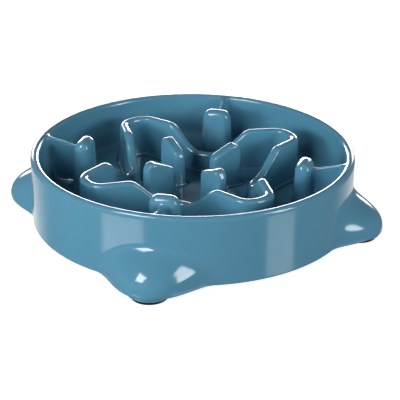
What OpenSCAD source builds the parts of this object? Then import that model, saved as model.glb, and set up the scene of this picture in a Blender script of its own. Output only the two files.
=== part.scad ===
// Slow feeder bowl: a round basin with a wavy feeding maze, on four feet with rubber pads.
// Lengths are in millimetres. The origin lies on the table under the middle of the bowl,
// +Z is up, and a foot lies on each end of the X axis and of the Y axis.

/* [Rim and wall] */
// Outer diameter of the wall
rim_d = 240; // [215:1:280]
// Height of the rim above the table
bowl_h = 57; // [52:0.5:70]
// Width of the rounded lip
lip_w = 6.6; // [6:0.1:9]
// Thickness of the moulded walls and floor
wall_t = 2.6; // [2:0.1:2.8]
// How far the inner wall leans inwards on its way down
wall_lean = 4; // [1:0.5:8]
// Radius between the inner wall and the floor
corner_r = 8; // [4:0.5:12]
// Gap between the lower edge of the wall and the table
skirt_gap = 6; // [4:0.5:9]
// Depth of the floor below the rim
basin_depth = 36; // [32:0.5:38]

/* [Maze ridge] */
// Thickness of the ridge near its top
ridge_t = 7; // [6.4:0.1:9]
// Thickness of the ridge's hollow sides
ridge_wall = 2.1; // [1.6:0.1:2.4]
// How far each side leans out on its way down
ridge_lean = 0.9; // [0.3:0.1:1.4]
// Rounding of the ridge's top edges
ridge_round = 2.4; // [1.5:0.1:3]
// Fillet between the ridge and the floor
ridge_fillet = 1.8; // [1:0.1:3]
// Channel between a lobe's nose and the lip
nose_gap = 21.4; // [17:0.1:26]
// Straight width of a lobe's nose
nose_w = 20.6; // [20:0.1:28]
// Rounding of a nose's corners
nose_r = 12; // [9:0.1:12.6]
// Distance of the necks' corners from the centre
neck_reach = 43.8; // [42:0.1:50]
// Rounding of a neck
neck_r = 22; // [16:0.5:26]
// Depth of the lobes' tops below the rim
ridge_drop = 4.4; // [2:0.1:8]
// Depth of the necks' tops below the rim
neck_drop = 21.6; // [16:0.1:24]
// Level stretch of the ridge next to a neck's corner
neck_run = 3.6; // [1:0.1:6]
// Length over which the ridge climbs from a neck to a lobe
climb_run = 20; // [14:0.5:24]

/* [Centre blades] */
// Distance of a blade's inner end from the centre
blade_in = 16.8; // [14:0.1:20]
// Length of a blade
blade_l = 24.7; // [21:0.1:28]
// Thickness of a blade
blade_t = 9; // [8:0.1:11]
// Depth of a blade's outer end below the rim
blade_drop = 4; // [2:0.1:8]
// Depth of a blade's inner end below the rim
blade_low_drop = 13; // [10:0.1:16]
// Rounding of a blade's edges
blade_edge = 2.2; // [1.2:0.1:3]
// Rounding of a blade's outer top corner
blade_corner = 6; // [4:0.1:8]

/* [Posts and webs] */
// Thickness of a post at the foot of its dome
post_t = 12.2; // [10:0.1:14]
// Width of a post at the foot of its dome
post_w = 22.4; // [18:0.1:28]
// How far a post's sides lean out on their way down
post_lean = 1.4; // [0.6:0.1:3]
// Gap between a post and the lip
post_gap = 23.3; // [20:0.1:28]
// Depth of a post's top below the rim
post_drop = 0.2; // [0:0.1:6]
// Thickness of the web behind a post
web_t = 2.4; // [1.6:0.1:4]
// Depth of a web's lowest point below the top of its post
web_drop = 5.6; // [3.6:0.1:6.4]
// Fillet between the top of a web and its post
web_fillet = 3; // [1.6:0.1:4]
// Depth of a web's top below the rim, at the lip
web_lip_drop = 0.4; // [0.3:0.1:2]

/* [Feet and pads] */
// How far a foot stands out from the wall
foot_reach = 23.8; // [23:0.1:30]
// Width of a foot where it leaves the wall
foot_w = 86; // [76:1:96]
// Height of a foot above the wall's lower edge
foot_rise = 29.6; // [26:0.1:36]
// Drop of a foot's sole below the wall's lower edge
sole_drop = 2.6; // [1.6:0.1:3.2]
// Diameter of a rubber pad
pad_d = 26.4; // [22:0.2:28]
// Distance of a pad's centre from the wall's outer face
pad_out = 6.4; // [4:0.1:7]
// Depth of a pad's seat in its foot
pad_seat = 2.2; // [1:0.1:3]
// Rounding of a pad's lower edge
pad_edge = 1.2; // [0.5:0.1:2]

/* [Hidden] */

// Four like sections lie a quarter turn apart, and the lobes and blades half of that further on
turns = 4;
quarter = 360 / turns;
diagonal = quarter / 2;
// Overrun of every cut
cut = 1;
plastic = [0.34, 0.55, 0.65];
rubber = [0.04, 0.04, 0.045];

// Wall
rim_r = rim_d / 2;
lip_r = lip_w / 2;
lip_mid = rim_r - lip_r;
lip_z = bowl_h - lip_r;
inner_r = rim_r - lip_w;
floor_z = bowl_h - basin_depth;
under_z = floor_z - wall_t;
wall_angle = atan2(wall_lean, lip_z - floor_z);
corner_z = floor_z + corner_r;
corner_mid = inner_r - wall_lean + corner_r * tan(wall_angle) - corner_r / cos(wall_angle);
arc_steps = 12;

// Ridge
lobe_reach = inner_r - nose_gap - ridge_t / 2;
ridge_half = ridge_t / 2;
ridge_foot = ridge_half + ridge_lean;
ridge_top = bowl_h - ridge_drop;
neck_top = bowl_h - neck_drop;
climb_from = neck_reach + neck_run;
nose_corner = [lobe_reach, nose_w / 2];
neck_corner = [neck_reach * cos(diagonal), neck_reach * sin(diagonal)];
limb_turn = atan2(neck_corner.y - nose_corner.y, neck_corner.x - nose_corner.x);
limb_dir = [cos(limb_turn), sin(limb_turn)];
nose_cut = nose_r * tan((limb_turn - quarter) / 2);
neck_turn = limb_turn - quarter - diagonal;
neck_cut = neck_r * tan(neck_turn);
nose_steps = 6;
neck_steps = 8;
limb_steps = 6;
round_steps = 3;

// Posts
post_half = post_t / 2;
post_x = inner_r - post_gap - post_half;
post_tilt = atan2(post_lean, basin_depth - post_drop - post_half);
post_top = bowl_h - post_drop;
post_end = post_w / 2 - post_half;

// Feet
foot_angle = foot_w / rim_r / 2 * 180 / PI;
foot_rings = 8;
foot_sectors = 16;
// Powers that set a foot's fullness along the wall and up the wall
foot_side_power = 1.94;
foot_up_power = 2.88;
sole_gap = skirt_gap - sole_drop;
pad_x = rim_r + pad_out;
pad_clear = 0.1;
pad_top = sole_gap + pad_seat;

// Points on an arc of radius r about c, from angle a to angle b
function arc(c, r, a, b, n) = [for (i = [0:n]) c + r * [cos(a + (b - a) * i / n), sin(a + (b - a) * i / n)]];
function ease(t) = let (s = min(1, max(0, t))) s * s * (3 - 2 * s);
function flip(list) = [for (i = [len(list) - 1:-1:0]) list[i]];

// Section of the lip, which curls over from the outer wall to the basin's wall
lip_outline = concat(
    arc([lip_mid, lip_z], lip_r, 0, 2 * quarter, arc_steps),
    arc([lip_mid, lip_z], lip_r - wall_t, 2 * quarter, 0, arc_steps));
// Section of the rounded corner between the basin's wall and its floor
corner_outline = concat(
    arc([corner_mid, corner_z], corner_r, -wall_angle, -quarter, arc_steps),
    arc([corner_mid, corner_z], corner_r + wall_t, -quarter, -wall_angle, arc_steps));
// Section of the basin's wall, from the corner up to the lip
basin_outline = [corner_outline[0], corner_outline[len(corner_outline) - 1],
    [inner_r + wall_t, lip_z], [inner_r, lip_z]];

// Bulge of a foot over the wall at a share rho of the way from its tip, in direction phi
function bulge(rho, phi) = let (up = sin(phi) * sin(phi),
    p = foot_side_power + (foot_up_power - foot_side_power) * up)
    foot_reach * pow(1 - pow(rho, p), 2);
function foot_turn(rho, phi) = foot_angle * rho * cos(phi);
function foot_z(rho, phi) = skirt_gap + foot_rise * rho * sin(phi);
function foot_point(rho, phi, inset) = let (r = rim_r + bulge(rho, phi) - inset, t = foot_turn(rho, phi))
    [r * cos(t), r * sin(t), foot_z(rho, phi)];
// Directions from one end of a foot's lower edge to the other, and rings from tip to rim
foot_phis = [for (j = [0:foot_sectors]) 180 * j / foot_sectors];
foot_rhos = [for (i = [1:foot_rings]) i / foot_rings];
foot_row = foot_sectors + 1;
function foot_skin(inset) = concat([foot_point(0, 0, inset)],
    [for (rho = foot_rhos) for (phi = foot_phis) foot_point(rho, phi, inset)]);
foot_count = 1 + foot_rings * foot_row;
function foot_at(i, j) = 1 + (i - 1) * foot_row + j;
foot_faces = concat(
    [for (j = [0:foot_sectors - 1]) [0, foot_at(1, j + 1), foot_at(1, j)]],
    [for (i = [1:foot_rings - 1]) for (j = [0:foot_sectors - 1]) each
        [[foot_at(i, j), foot_at(i, j + 1), foot_at(i + 1, j + 1)],
         [foot_at(i, j), foot_at(i + 1, j + 1), foot_at(i + 1, j)]]]);

// Wall of a foot: the wall's own thickness, pushed out
module foot_shell() {
    outer = foot_skin(0);
    inner = foot_skin(wall_t);
    n = foot_count;
    rim = [for (j = [0:foot_sectors - 1]) each
        [[foot_at(foot_rings, j), foot_at(foot_rings, j + 1), n + foot_at(foot_rings, j + 1)],
         [foot_at(foot_rings, j), n + foot_at(foot_rings, j + 1), n + foot_at(foot_rings, j)]]];
    function under(i, j) = i == 0 ? 0 : foot_at(i, j);
    base = [for (i = [0:foot_rings - 1]) each
        [[under(i, 0), foot_at(i + 1, 0), n + foot_at(i + 1, 0), n + under(i, 0)],
         [n + under(i, foot_sectors), n + foot_at(i + 1, foot_sectors), foot_at(i + 1, foot_sectors),
          under(i, foot_sectors)]]];
    inside = [for (f = foot_faces) [n + f[0], n + f[2], n + f[1]]];
    polyhedron(concat(outer, inner), concat(foot_faces, inside, rim, base));
}

// Plate across the underside of a foot, reaching into its wall
boss_r = pad_d / 2 + wall_t;
plate_inset_share = 0.8;
plate_inset = wall_t * plate_inset_share;
plate_back = pad_x - boss_r;
plate_outline = let (near = foot_point(1, 0, plate_inset)) concat(
    [for (i = [foot_rings:-1:1]) let (p = foot_point(i / foot_rings, 0, plate_inset)) [p.x, p.y]],
    [for (i = [0:foot_rings]) let (p = foot_point(i / foot_rings, 2 * quarter, plate_inset)) [p.x, p.y]],
    [[plate_back, wall_t - near.y], [plate_back, near.y - wall_t]]);
// Top of the sole, which closes in on the pad's boss below
sole_inset_share = 0.25;
sole_inset = wall_t * sole_inset_share;
sole_rings = foot_rings - 2;
sole_outline = concat(
    [for (i = [sole_rings:-1:1]) let (p = foot_point(i / foot_rings, 0, sole_inset)) [p.x, p.y]],
    [for (i = [0:sole_rings]) let (p = foot_point(i / foot_rings, 2 * quarter, sole_inset)) [p.x, p.y]],
    [[plate_back, -boss_r], [plate_back, boss_r]]);
module foot_sole() {
    hull() {
        translate([0, 0, skirt_gap]) linear_extrude(sole_inset) polygon(sole_outline);
        translate([pad_x, 0, sole_gap]) cylinder(h = (skirt_gap - sole_gap) / 2, r = boss_r, $fn = 32);
    }
}

// Gap in the wall that a foot's hollow opens into
module foot_gate() {
    inner = rim_r - wall_t - (lip_r - wall_t);
    outer = rim_r + cut;
    low = skirt_gap - cut;
    at = [for (phi = foot_phis) [foot_turn(1, phi), foot_z(1, phi)]];
    points = [for (p = at) each
        [for (q = [[inner, low], [inner, p.y], [outer, p.y], [outer, low]])
            [q.x * cos(p.x), q.x * sin(p.x), q.y]]];
    m = foot_sectors;
    sides = [for (j = [0:m - 1]) for (k = [0:3]) let (a = 4 * j + k, b = 4 * j + (k + 1) % 4) each
        [[a, b, b + 4], [a, b + 4, a + 4]]];
    polyhedron(points, concat(sides, [[3, 2, 1, 0]], [[4 * m, 4 * m + 1, 4 * m + 2, 4 * m + 3]]));
}

// Centre lines of the ridge's sections: half a nose, one limb and a whole neck, in that order along the
// ridge from the middle of the nose, with the nose's axis along X
limb_from = nose_corner + limb_dir * nose_cut;
limb_to = neck_corner - limb_dir * neck_cut;
half_nose = concat([[lobe_reach, 0]],
    arc(nose_corner + [-nose_r, -nose_cut], nose_r, 0, limb_turn - quarter, nose_steps));
limb_line = [for (i = [0:limb_steps]) limb_from + (limb_to - limb_from) * i / limb_steps];
neck_line = arc(limb_to + neck_r * [limb_dir.y, -limb_dir.x], neck_r,
    limb_turn + quarter, 2 * (2 * quarter + diagonal) - limb_turn - quarter, neck_steps);
nose_line = concat([for (i = [len(half_nose) - 1:-1:1]) [half_nose[i].x, -half_nose[i].y]], half_nose);

// Direction to the left of a line at its point i, where a and b are the directions of its ends
function left_of(d) = [-d.y, d.x] / norm(d);
function side_at(line, i, a, b) = left_of(i == 0 ? a : i == len(line) - 1 ? b : line[i + 1] - line[i - 1]);
function ridge_z(p) = neck_top + (ridge_top - neck_top) * ease((norm(p) - climb_from) / climb_run);

// Left half of the ridge's section, from the floor up, for a top at z
function half_section(z) = concat(
    [for (i = [0:round_steps]) let (a = quarter * i / round_steps)
        [ridge_foot + ridge_fillet * (1 - sin(a)), floor_z + ridge_fillet * (1 - cos(a))]],
    [for (i = [0:round_steps]) let (a = quarter * i / round_steps)
        [ridge_half - ridge_round * (1 - cos(a)), z - ridge_round * (1 - sin(a))]]);
function ridge_section(z, cored) = concat(half_section(z), [for (p = flip(half_section(z))) [-p.x, p.y]],
    cored ? [[ridge_wall - ridge_foot, floor_z], [ridge_wall - ridge_half, z - ridge_wall],
        [ridge_half - ridge_wall, z - ridge_wall], [ridge_foot - ridge_wall, floor_z]] : []);

// Section of the ridge along a line, hollow from below if cored
module ridge(line, a, b, cored) {
    rings = [for (i = [0:len(line) - 1]) let (p = line[i], s = side_at(line, i, a, b))
        [for (q = ridge_section(ridge_z(p), cored)) [p.x + s.x * q.x, p.y + s.y * q.x, q.y]]];
    n = len(rings[0]);
    last = n * (len(line) - 1);
    sides = [for (i = [0:len(line) - 2]) for (k = [0:n - 1])
        let (p = i * n + k, q = i * n + (k + 1) % n) each [[p, q + n, q], [p, p + n, q + n]]];
    polyhedron([for (ring = rings) each ring],
        concat(sides, [[for (k = [0:n - 1]) k]], [[for (k = [n - 1:-1:0]) last + k]]));
}

// Outline, in plan, of the hollow under a nose and its two limbs
hollow_half = ridge_foot - ridge_wall;
hollow_line = concat(half_nose, [limb_to]);
function hollow_side(w) = [for (i = [0:len(hollow_line) - 1])
    hollow_line[i] + w * side_at(hollow_line, i, [0, 1], limb_dir)];
ridge_slot = let (outer = hollow_side(-hollow_half), inner = hollow_side(hollow_half))
    concat(outer, flip(inner), [for (p = inner) [p.x, -p.y]], flip([for (p = outer) [p.x, -p.y]]));

// Post with a domed top and leaning sides, down to a base at z, made smaller all round by inset
dome_z = post_top - post_half;
function post_reach(inset, z) = (post_half - inset) / cos(post_tilt) + (dome_z - z) * tan(post_tilt);
module post_body(inset, z) {
    r = post_half - inset;
    side = r * cos(post_tilt);
    side_z = dome_z + r * sin(post_tilt);
    base = post_reach(inset, z);
    for (s = [-1, 1]) translate([post_x, s * post_end, 0]) {
        translate([0, 0, z]) cylinder(h = side_z - z, r1 = base, r2 = side, $fn = 48);
        translate([0, 0, dome_z]) sphere(r = r, $fn = 48);
    }
    translate([post_x, post_end, 0]) rotate([quarter, 0, 0]) linear_extrude(2 * post_end)
        polygon([[-base, z], [base, z], [side, side_z], [-side, side_z]]);
    translate([post_x, post_end, dome_z]) rotate([quarter, 0, 0]) cylinder(h = 2 * post_end, r = r, $fn = 48);
}

module post() {
    difference() {
        post_body(0, floor_z);
        post_body(wall_t, floor_z - cut);
    }
}
// Outline, in plan, of the hollow under a post
post_slot = let (r = post_reach(wall_t, floor_z))
    concat(arc([post_x, post_end], r, 0, 2 * quarter, arc_steps),
        arc([post_x, -post_end], r, 2 * quarter, 4 * quarter, arc_steps));

// Web from a post to the wall: its top falls from the lip and turns up to the post's dome
web_bend = let (z = post_top - web_drop + web_fillet)
    [post_x + sqrt(pow(post_half + web_fillet, 2) - pow(z - dome_z, 2)), z];
web_meet = atan2(web_bend.y - dome_z, web_bend.x - post_x);
web_outline = let (lip_a = quarter + acos((lip_r - web_lip_drop) / lip_r)) concat(
    [[post_x + post_reach(0, floor_z), floor_z]],
    arc([corner_mid, corner_z], corner_r, -quarter, -wall_angle, arc_steps),
    arc([lip_mid, lip_z], lip_r, 2 * quarter, lip_a, round_steps),
    arc(web_bend, web_fillet, 3 * quarter, 2 * quarter + web_meet, round_steps),
    arc([post_x, dome_z], post_half, web_meet, post_tilt, arc_steps));
module web() {
    translate([0, web_t / 2, 0]) rotate([quarter, 0, 0]) linear_extrude(web_t) polygon(web_outline);
}

// Centre blade: an upright plate whose top falls towards the middle of the bowl
blade_top = bowl_h - blade_drop;
blade_low = bowl_h - blade_low_drop;
blade_half = blade_t / 2;
blade_out = blade_in + blade_l;
module blade() {
    difference() {
        hull() {
            for (y = [blade_edge - blade_half, blade_half - blade_edge]) {
                for (x = [blade_in + blade_edge, blade_out - blade_edge])
                    translate([x, y, floor_z]) cylinder(h = blade_edge, r = blade_edge, $fn = 24);
                for (p = [[blade_in + blade_edge, blade_low - blade_edge],
                        [blade_in + 2 * blade_edge, blade_low],
                        [blade_out - blade_corner - blade_edge, blade_top - blade_edge],
                        [blade_out - blade_corner / 2, blade_top - blade_edge - blade_edge / 2],
                        [blade_out - blade_edge, blade_top - blade_corner]])
                    translate([p.x, y, p.y]) sphere(r = blade_edge, $fn = 20);
            }
        }
        translate([0, blade_half - wall_t, 0]) rotate([quarter, 0, 0]) linear_extrude(blade_t - 2 * wall_t)
            polygon([[blade_in + wall_t, floor_z - cut], [blade_out - wall_t, floor_z - cut],
                [blade_out - wall_t, blade_top - blade_corner - wall_t],
                [blade_out - blade_corner - wall_t, blade_top - 2 * wall_t],
                [blade_in + wall_t + blade_edge, blade_low - blade_edge - wall_t],
                [blade_in + wall_t, blade_low - blade_edge - 2 * wall_t]]);
    }
}

module foot() {
    difference() {
        union() {
            foot_shell();
            translate([0, 0, skirt_gap]) linear_extrude(wall_t) polygon(plate_outline);
            foot_sole();
        }
        translate([pad_x, 0, sole_gap - cut])
            cylinder(h = pad_seat + cut, r = pad_d / 2 + pad_clear, $fn = 64);
    }
}

module pad() {
    translate([pad_x, 0, 0]) rotate_extrude($fn = 64)
        polygon(concat([[0, pad_top], [0, 0]],
            arc([pad_d / 2 - pad_edge, pad_edge], pad_edge, -quarter, 0, round_steps),
            [[pad_d / 2, pad_top]]));
}

module outer_wall() {
    color(plastic) difference() {
        rotate_extrude($fn = 180) translate([rim_r - wall_t, skirt_gap]) square([wall_t, lip_z - skirt_gap]);
        for (k = [0:turns - 1]) rotate(quarter * k) foot_gate();
    }
}

module rolled_lip() {
    color(plastic) rotate_extrude($fn = 180) polygon(lip_outline);
}

module basin_wall() {
    color(plastic) rotate_extrude($fn = 180) polygon(basin_outline);
}

module basin_corner() {
    color(plastic) rotate_extrude($fn = 180) polygon(corner_outline);
}

module basin_floor() {
    color(plastic) difference() {
        translate([0, 0, under_z]) cylinder(h = wall_t, r = corner_mid, $fn = 180);
        translate([0, 0, under_z - cut]) linear_extrude(wall_t + 2 * cut)
            for (k = [0:turns - 1]) {
                rotate(quarter * k + diagonal) polygon(ridge_slot);
                rotate(quarter * k) polygon(post_slot);
                rotate(quarter * k + diagonal) translate([blade_in + wall_t, wall_t - blade_half])
                    square([blade_l - 2 * wall_t, blade_t - 2 * wall_t]);
            }
    }
}

// Sections on a post's axis are numbered from the right, and those between two axes from the back right
module maze_nose(k) {
    color(plastic) rotate(quarter * k + diagonal)
        ridge(nose_line, [-limb_dir.x, limb_dir.y], limb_dir, true);
}
// Limb from neck k, on its anticlockwise side if turn is 1 and on the other if it is -1
module maze_limb(k, turn) {
    color(plastic) rotate(quarter * k) scale([1, turn, 1]) rotate(diagonal) mirror([0, 1, 0])
        ridge(limb_line, limb_dir, limb_dir, true);
}
module maze_neck(k) {
    color(plastic) rotate(quarter * k - diagonal)
        ridge(neck_line, limb_dir, [-limb_dir.y, -limb_dir.x], false);
}
module centre_blade(k) { color(plastic) rotate(quarter * k + diagonal) blade(); }
module post_at(k) { color(plastic) rotate(quarter * k) post(); }
module post_web(k) { color(plastic) rotate(quarter * k) web(); }
module foot_at_wall(k) { color(plastic) rotate(quarter * k) foot(); }
module foot_pad(k) { color(rubber) rotate(quarter * k) pad(); }

outer_wall();
rolled_lip();
basin_wall();
basin_corner();
basin_floor();
maze_nose(0);  // maze_nose_back_right
maze_nose(1);  // maze_nose_back_left
maze_nose(2);  // maze_nose_front_left
maze_nose(3);  // maze_nose_front_right
maze_limb(0, 1);  // maze_limb_right_back
maze_limb(1, -1);  // maze_limb_back_right
maze_limb(1, 1);  // maze_limb_back_left
maze_limb(2, -1);  // maze_limb_left_back
maze_limb(2, 1);  // maze_limb_left_front
maze_limb(3, -1);  // maze_limb_front_left
maze_limb(3, 1);  // maze_limb_front_right
maze_limb(0, -1);  // maze_limb_right_front
maze_neck(0);  // maze_neck_right
maze_neck(1);  // maze_neck_back
maze_neck(2);  // maze_neck_left
maze_neck(3);  // maze_neck_front
centre_blade(0);  // centre_blade_back_right
centre_blade(1);  // centre_blade_back_left
centre_blade(2);  // centre_blade_front_left
centre_blade(3);  // centre_blade_front_right
post_at(0);  // post_right
post_at(1);  // post_back
post_at(2);  // post_left
post_at(3);  // post_front
post_web(0);  // post_web_right
post_web(1);  // post_web_back
post_web(2);  // post_web_left
post_web(3);  // post_web_front
foot_at_wall(0);  // foot_right
foot_at_wall(1);  // foot_back
foot_at_wall(2);  // foot_left
foot_at_wall(3);  // foot_front
foot_pad(0);  // foot_pad_right
foot_pad(1);  // foot_pad_back
foot_pad(2);  // foot_pad_left
foot_pad(3);  // foot_pad_front
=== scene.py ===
import math

import bmesh
import bpy
from mathutils import Matrix, Vector
from mathutils.geometry import tessellate_polygon


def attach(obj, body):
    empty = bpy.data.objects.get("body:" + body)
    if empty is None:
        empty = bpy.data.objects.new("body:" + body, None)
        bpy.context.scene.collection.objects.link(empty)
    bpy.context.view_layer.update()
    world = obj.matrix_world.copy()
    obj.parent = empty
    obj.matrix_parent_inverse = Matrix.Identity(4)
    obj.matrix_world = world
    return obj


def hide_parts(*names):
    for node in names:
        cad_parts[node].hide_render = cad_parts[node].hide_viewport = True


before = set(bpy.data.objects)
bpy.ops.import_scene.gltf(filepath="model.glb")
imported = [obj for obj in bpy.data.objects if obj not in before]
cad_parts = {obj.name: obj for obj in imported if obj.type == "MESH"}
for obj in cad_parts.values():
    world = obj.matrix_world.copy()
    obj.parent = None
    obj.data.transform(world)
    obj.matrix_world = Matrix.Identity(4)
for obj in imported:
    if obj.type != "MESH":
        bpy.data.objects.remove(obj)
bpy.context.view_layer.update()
mm = 0.001  # the pieces' dictionaries are in millimetres and degrees
sides = ("right", "back", "left", "front")
quarters = ("back_right", "back_left", "front_left", "front_right")


def smooth(t):
    t = min(1.0, max(0.0, t))
    return t * t * (3 - 2 * t)


def arcPoints(centre, radius, start, end, steps):
    turns = [math.radians(start + (end - start) * i / steps) for i in range(steps + 1)]
    return [(centre[0] + radius * math.cos(a), centre[1] + radius * math.sin(a)) for a in turns]


def between(a, b, steps):
    # points that divide the way between two into steps, without the two
    return [tuple(p + (q - p) * i / steps for p, q in zip(a, b)) for i in range(1, steps)]


def quarterAngles(first, steps):
    return [math.radians(90 * i / steps) for i in range(first, steps + 1)]


def setSocket(node, name, value):
    node.inputs[name].default_value = value


# Meshes

cleaning = {"merge": 2e-6, "leastArea": 1e-13, "sharpFrom": 38.0}  # in metres, square metres and degrees


def cleanMesh(mesh):
    # merges doubles, turns faces outwards and keeps edges above the angle sharp
    work = bmesh.new()
    work.from_mesh(mesh)
    bmesh.ops.remove_doubles(work, verts=work.verts, dist=cleaning["merge"])
    flat = [f for f in work.faces if f.calc_area() < cleaning["leastArea"]]
    bmesh.ops.delete(work, geom=flat, context="FACES_ONLY")
    bmesh.ops.recalc_face_normals(work, faces=work.faces)
    for face in work.faces:
        face.smooth = True
    for edge in work.edges:
        edge.smooth = edge.calc_face_angle(0.0) < math.radians(cleaning["sharpFrom"])
    work.to_mesh(mesh)
    work.free()


def makePiece(name, points, faces, edges=(), clean=True):
    mesh = bpy.data.meshes.new(name)
    mesh.from_pydata([(x * mm, y * mm, z * mm) for x, y, z in points], edges, faces)
    if clean:
        cleanMesh(mesh)
    piece = bpy.data.objects.new(name, mesh)
    bpy.context.scene.collection.objects.link(piece)
    return piece


def makeLoop(name, points):
    # a closed line
    n = len(points)
    return makePiece(name, points, [], [(i, (i + 1) % n) for i in range(n)], clean=False)


def bridgeRings(rings, closed=True):
    # quads between rings of equal length; closed joins each ring's end to its start
    n = len(rings[0])
    last = n if closed else n - 1
    return [(i * n + j, i * n + (j + 1) % n, (i + 1) * n + (j + 1) % n, (i + 1) * n + j)
            for i in range(len(rings) - 1) for j in range(last)]


def addNodes(piece, tree, values):
    # adds a Geometry Nodes modifier and fills its named inputs by their identifiers
    modifier = piece.modifiers.new(tree.name, "NODES")
    modifier.node_group = tree
    for item in tree.interface.items_tree:
        if item.item_type == "SOCKET" and item.in_out == "INPUT" and item.name in values:
            modifier[item.identifier] = values[item.name]


def settle(piece):
    # the evaluated shape becomes a plain mesh, and the modifiers go
    bpy.context.view_layer.update()
    shown = piece.evaluated_get(bpy.context.evaluated_depsgraph_get())
    mesh = bpy.data.meshes.new_from_object(shown)
    piece.modifiers.clear()
    piece.data = mesh
    mesh.name = piece.name
    cleanMesh(mesh)


def finishPiece(piece, nodes):
    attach(piece, "root")
    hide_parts(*nodes)
    print("piece", piece.name, len(piece.data.polygons), "faces")


# Node trees

def newTree(name, kind, inputs, outputs):
    tree = bpy.data.node_groups.new(name, kind)
    for label, socket, value in inputs:
        item = tree.interface.new_socket(label, in_out="INPUT", socket_type=socket)
        if value is not None:
            item.default_value = value
    for label, socket in outputs:
        tree.interface.new_socket(label, in_out="OUTPUT", socket_type=socket)
    return tree, tree.nodes.new("NodeGroupInput"), tree.nodes.new("NodeGroupOutput")


def addNode(tree, kind, **settings):
    node = tree.nodes.new(kind)
    for key, value in settings.items():
        setattr(node, key, value)
    return node


def calc(tree, operation, a, b=None, c=None):
    # a Math node; each input is a number or a socket
    node = addNode(tree, "ShaderNodeMath", operation=operation)
    for i, value in enumerate((a, b, c)):
        if value is None:
            continue
        if isinstance(value, (int, float)):
            node.inputs[i].default_value = value
        else:
            tree.links.new(value, node.inputs[i])
    return node.outputs[0]


def quarterTurnsTree():
    # repeats a piece around the bowl's axis
    tree, given, result = newTree("quarterTurns", "GeometryNodeTree", (
        ("Geometry", "NodeSocketGeometry", None), ("Count", "NodeSocketInt", 4),
        ("First Angle", "NodeSocketFloat", 0.0), ("Material", "NodeSocketMaterial", None)),
        (("Geometry", "NodeSocketGeometry"),))
    link = tree.links.new
    spots = addNode(tree, "GeometryNodeMeshLine")
    setSocket(spots, "Offset", (0.0, 0.0, 0.0))
    link(given.outputs["Count"], spots.inputs["Count"])
    index = addNode(tree, "GeometryNodeInputIndex")
    step = calc(tree, "DIVIDE", math.tau, given.outputs["Count"])
    turn = calc(tree, "MULTIPLY_ADD", index.outputs[0], step, given.outputs["First Angle"])
    spin = addNode(tree, "ShaderNodeCombineXYZ")
    link(turn, spin.inputs["Z"])
    place = addNode(tree, "GeometryNodeInstanceOnPoints")
    link(spots.outputs["Mesh"], place.inputs["Points"])
    link(given.outputs["Geometry"], place.inputs["Instance"])
    link(spin.outputs[0], place.inputs["Rotation"])
    real = addNode(tree, "GeometryNodeRealizeInstances")
    link(place.outputs[0], real.inputs[0])
    paint = addNode(tree, "GeometryNodeSetMaterial")
    link(real.outputs[0], paint.inputs["Geometry"])
    link(given.outputs["Material"], paint.inputs["Material"])
    link(paint.outputs[0], result.inputs[0])
    return tree


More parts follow.
